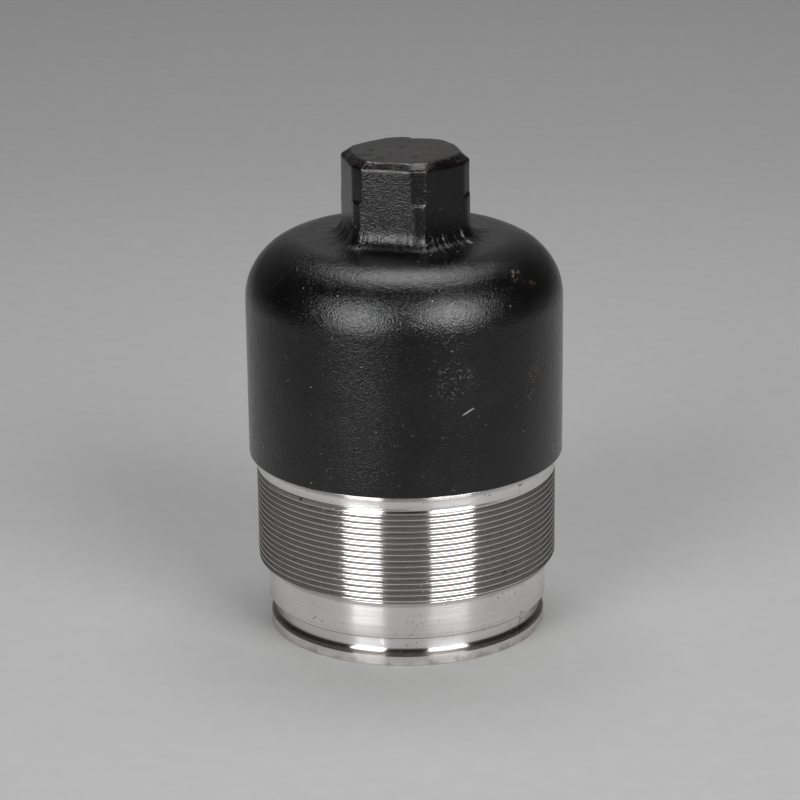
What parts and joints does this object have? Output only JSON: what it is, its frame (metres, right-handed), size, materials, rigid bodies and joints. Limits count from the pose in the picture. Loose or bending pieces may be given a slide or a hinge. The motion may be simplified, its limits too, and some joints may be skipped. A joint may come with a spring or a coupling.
{
  "type": "screw-in pressure filter bowl",
  "caption": "Forged screw-in filter bowl with an external fine thread, seal groove and hex drive, holding a sprung pleated filter element with a bypass valve.",
  "frame": {"origin": "centre of the open rim, which the bowl stands on", "axes": "+Z along the bowl's axis, from the open rim towards the hex drive"},
  "size_m": [0.0785, 0.0784, 0.1215],
  "materials": {
    "black_forging": "black coat over a forged skin, satin; thread, pilot, groove and lip machined bright",
    "bright_steel": "zinc plated pressing",
    "spring_steel": "drawn wire",
    "mesh_wire": "woven stainless wire",
    "glass_fibre": "pleated glass fibre",
    "potting_resin": "cast resin",
    "black_rubber": "moulded",
    "sintered_bronze": "sintered",
    "rivet_steel": "headed"
  },
  "bodies": {
    "bowl": {"filter_bowl": "black_forging", "retaining_ring": "spring_steel", "bowl_spring": "spring_steel"},
    "element": {"spring_seat": "bright_steel", "closed_cap": "bright_steel", "open_cap": "bright_steel", "face_gasket": "black_rubber", "core_tube": "bright_steel", "media_pack": "glass_fibre", "upstream_mesh": "mesh_wire", "downstream_mesh": "mesh_wire", "outer_wrap": "bright_steel", "wrap_bands": "bright_steel", "seam_clip": "bright_steel", "potting_open": "potting_resin", "potting_closed": "potting_resin", "bypass_cage": "bright_steel", "cage_rivets": "rivet_steel", "stem_bush": "sintered_bronze", "bypass_spring": "spring_steel"},
    "bypass": {"bypass_poppet": "bright_steel", "bypass_seal": "black_rubber"}
  },
  "joints": [
    {"name": "element_travel", "type": "slide", "parent": "bowl", "child": "element", "axis": [0, 0, 1], "range_m": [0, 0.006], "stiffness_N_per_m": 1600, "springref_m": -0.012, "deforming": ["bowl_spring"]},
    {"name": "bypass_lift", "type": "slide", "parent": "element", "child": "bypass", "axis": [0, 0, -1], "range_m": [0, 0.004], "stiffness_N_per_m": 3860, "springref_m": -0.0086, "deforming": ["bypass_spring"]}
  ]
}
